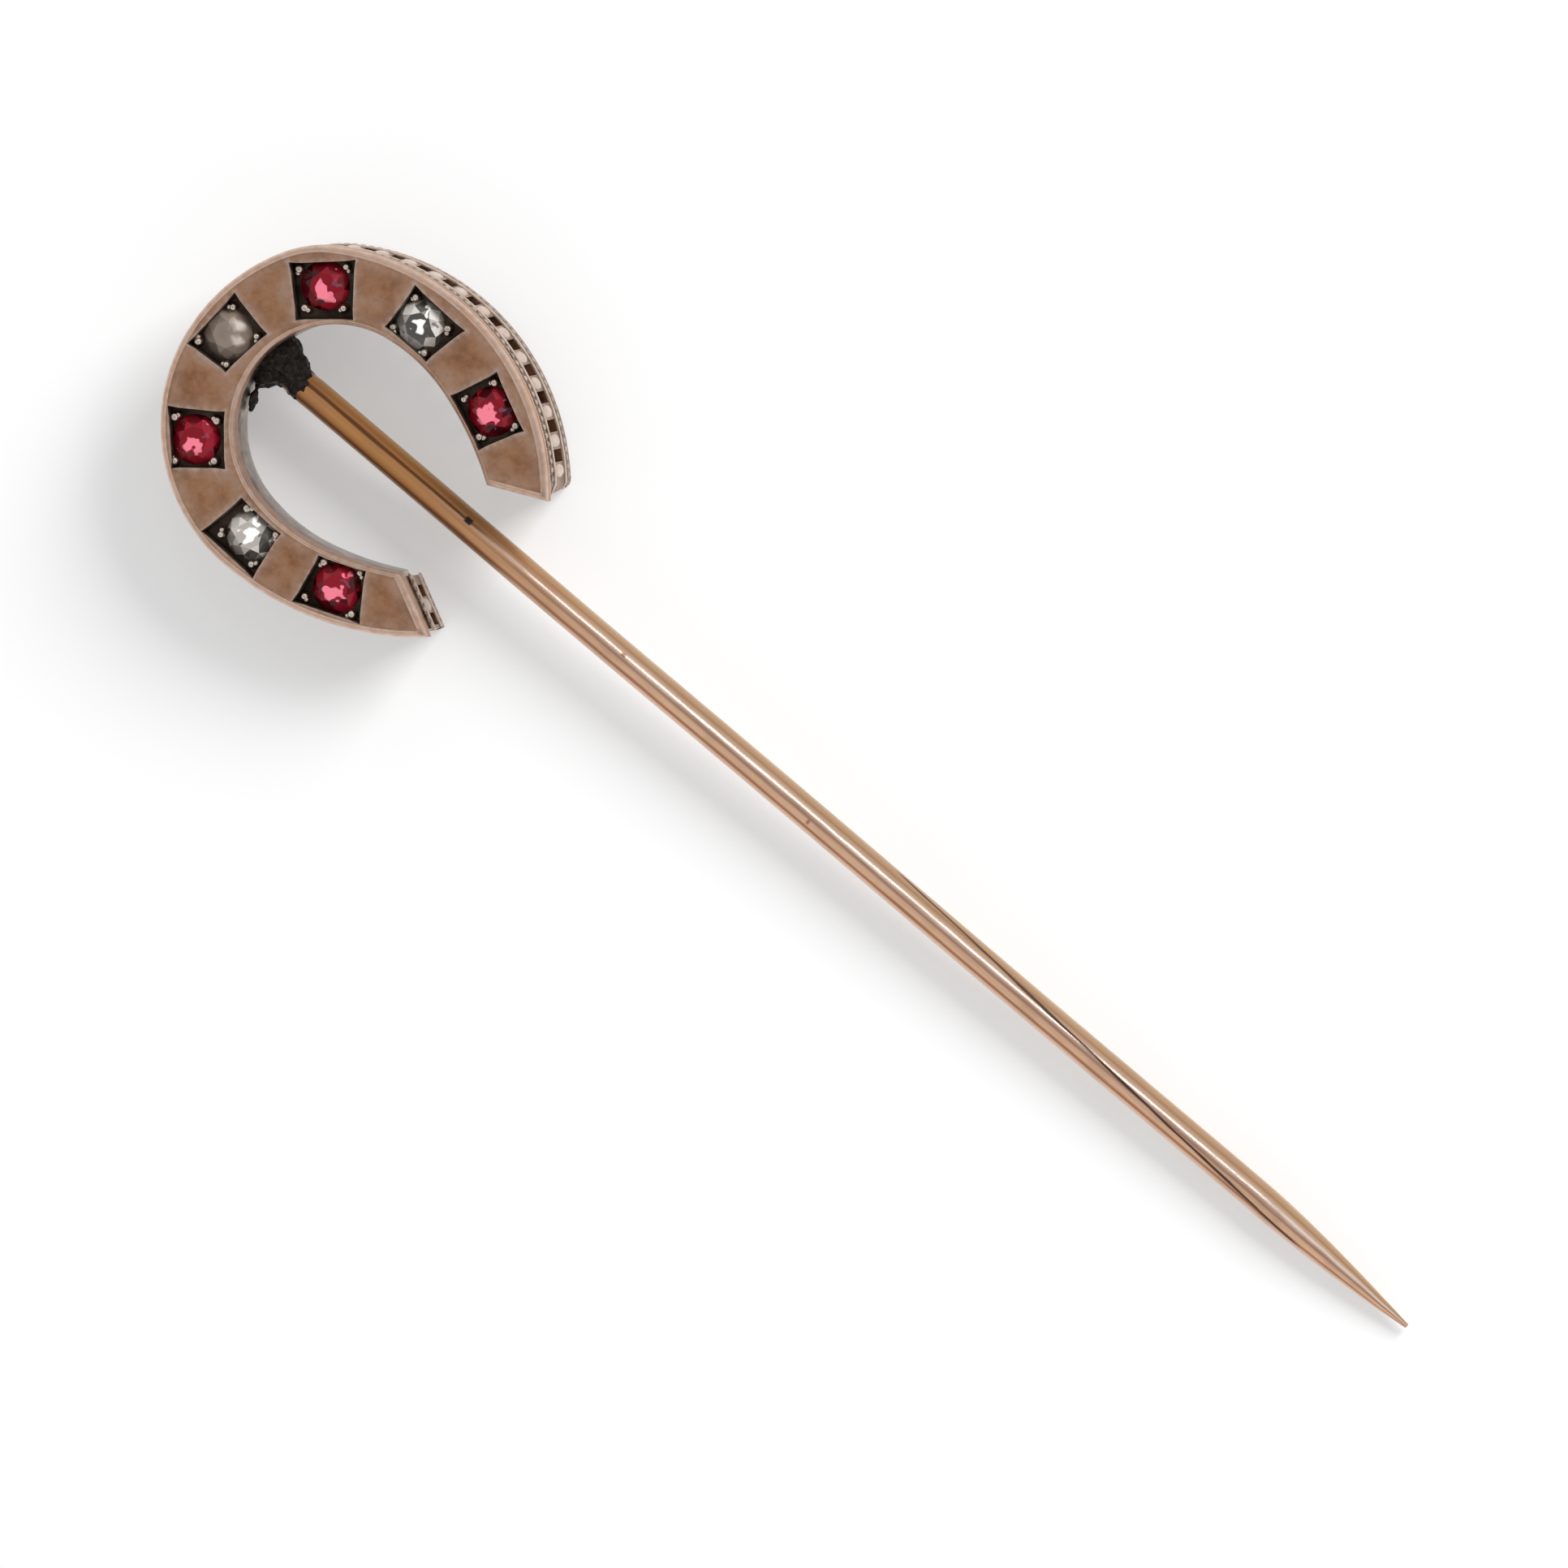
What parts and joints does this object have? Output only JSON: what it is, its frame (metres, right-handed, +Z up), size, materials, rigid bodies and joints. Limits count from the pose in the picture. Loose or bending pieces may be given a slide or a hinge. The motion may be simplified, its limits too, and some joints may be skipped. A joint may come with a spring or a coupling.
{
  "type": "horseshoe stick pin",
  "caption": "Antique gold stick pin: a hollow horseshoe head with pierced gallery, set with rubies and diamonds, on a long pointed stem.",
  "frame": {"origin": "middle of the footprint on the surface that the pin lies on, at the height of that surface", "axes": "+X along the stem from the horseshoe's toe to the point, +Y towards the horseshoe's right arm, +Z up, out of the jewelled face"},
  "size_m": [0.0542, 0.0124, 0.0041],
  "materials": {
    "rose_gold": "worn satin rose gold, tarnished in the sunk panels",
    "ruby": "cut and polished",
    "diamond": "old cut and polished",
    "cloudy_diamond": "old cut, cloudy grey"
  },
  "bodies": {
    "root": {"goldwork": "rose_gold", "diamond_toe": "cloudy_diamond", "ruby_left_toe": "ruby", "diamond_left": "diamond", "ruby_left_heel": "ruby", "ruby_right_toe": "ruby", "diamond_right": "diamond", "ruby_right_heel": "ruby"}
  },
  "joints": []
}
